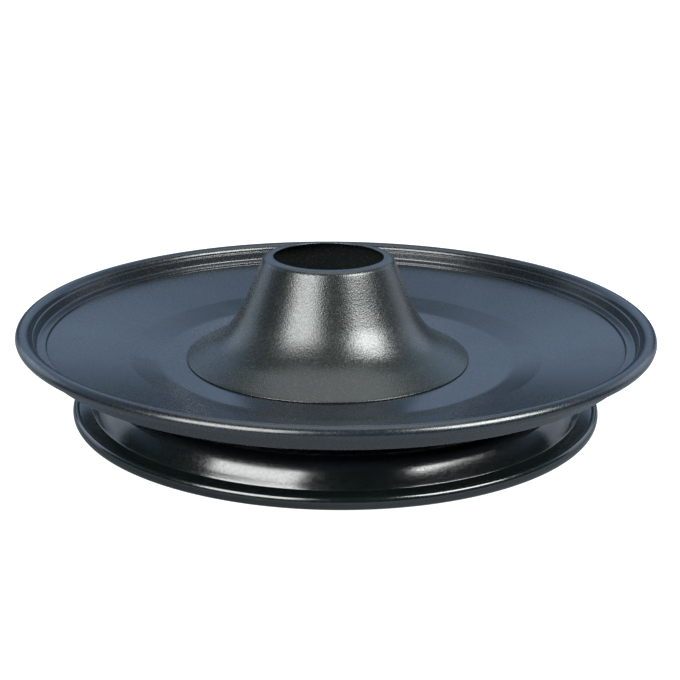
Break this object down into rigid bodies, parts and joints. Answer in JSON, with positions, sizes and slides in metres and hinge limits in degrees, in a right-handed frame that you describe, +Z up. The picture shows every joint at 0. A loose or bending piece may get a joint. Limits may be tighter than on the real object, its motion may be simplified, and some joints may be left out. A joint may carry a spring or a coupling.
{
  "type": "banding wheel",
  "caption": "Low two-deck turntable: a rimmed round head with a lift-off open centre cone turns on a dished base through a ball bearing ring.",
  "frame": {"origin": "centre of the base, on the surface the feet stand on", "axes": "+Z up along the spin axis; X and Y lie in the table plane"},
  "size_m": [0.3, 0.3, 0.0735],
  "materials": {
    "head_coating": "fine textured dark graphite coating with metallic fleck, satin",
    "base_coating": "the same dark graphite coating, smoother and glossier",
    "cone_coating": "the same dark graphite coating, sparkling and slightly rough",
    "race_steel": "turned",
    "ball_steel": "polished",
    "zinc_steel": "zinc plated",
    "nylon": "matte",
    "rubber": "matte"
  },
  "bodies": {
    "base": {"base_pan": "base_coating", "inner_race": "race_steel", "base_screw_1": "zinc_steel", "base_screw_2": "zinc_steel", "base_screw_3": "zinc_steel", "base_screw_4": "zinc_steel", "base_screw_5": "zinc_steel", "base_screw_6": "zinc_steel", "foot_pad_1": "rubber", "foot_pad_2": "rubber", "foot_pad_3": "rubber", "foot_pad_4": "rubber", "foot_pad_5": "rubber", "foot_pad_6": "rubber"},
    "head": {"wheel_head": "head_coating", "outer_race": "race_steel", "race_stud_1": "zinc_steel", "race_stud_2": "zinc_steel", "race_stud_3": "zinc_steel", "race_stud_4": "zinc_steel", "race_stud_5": "zinc_steel", "race_stud_6": "zinc_steel", "race_nut_1": "zinc_steel", "race_nut_2": "zinc_steel", "race_nut_3": "zinc_steel", "race_nut_4": "zinc_steel", "race_nut_5": "zinc_steel", "race_nut_6": "zinc_steel"},
    "cage": {"ball_cage": "nylon", "ball_1": "ball_steel", "ball_2": "ball_steel", "ball_3": "ball_steel", "ball_4": "ball_steel", "ball_5": "ball_steel", "ball_6": "ball_steel", "ball_7": "ball_steel", "ball_8": "ball_steel", "ball_9": "ball_steel", "ball_10": "ball_steel", "ball_11": "ball_steel", "ball_12": "ball_steel", "ball_13": "ball_steel", "ball_14": "ball_steel", "ball_15": "ball_steel", "ball_16": "ball_steel"},
    "cone": {"centre_cone": "cone_coating"}
  },
  "joints": [
    {"name": "wheel_spin", "type": "hinge", "parent": "base", "child": "head", "pos_m": [0, 0, 0.0164], "axis": [0, 0, 1], "continuous": true},
    {"name": "cage_spin", "type": "hinge", "parent": "base", "child": "cage", "pos_m": [0, 0, 0.0164], "axis": [0, 0, 1], "continuous": true},
    {"name": "cone_lift", "type": "slide", "parent": "head", "child": "cone", "axis": [0, 0, 1], "range_m": [0, 0.05]}
  ],
  "couplings": [
    {"joint": "cage_spin", "follows": "wheel_spin", "ratio": 0.5153}
  ]
}
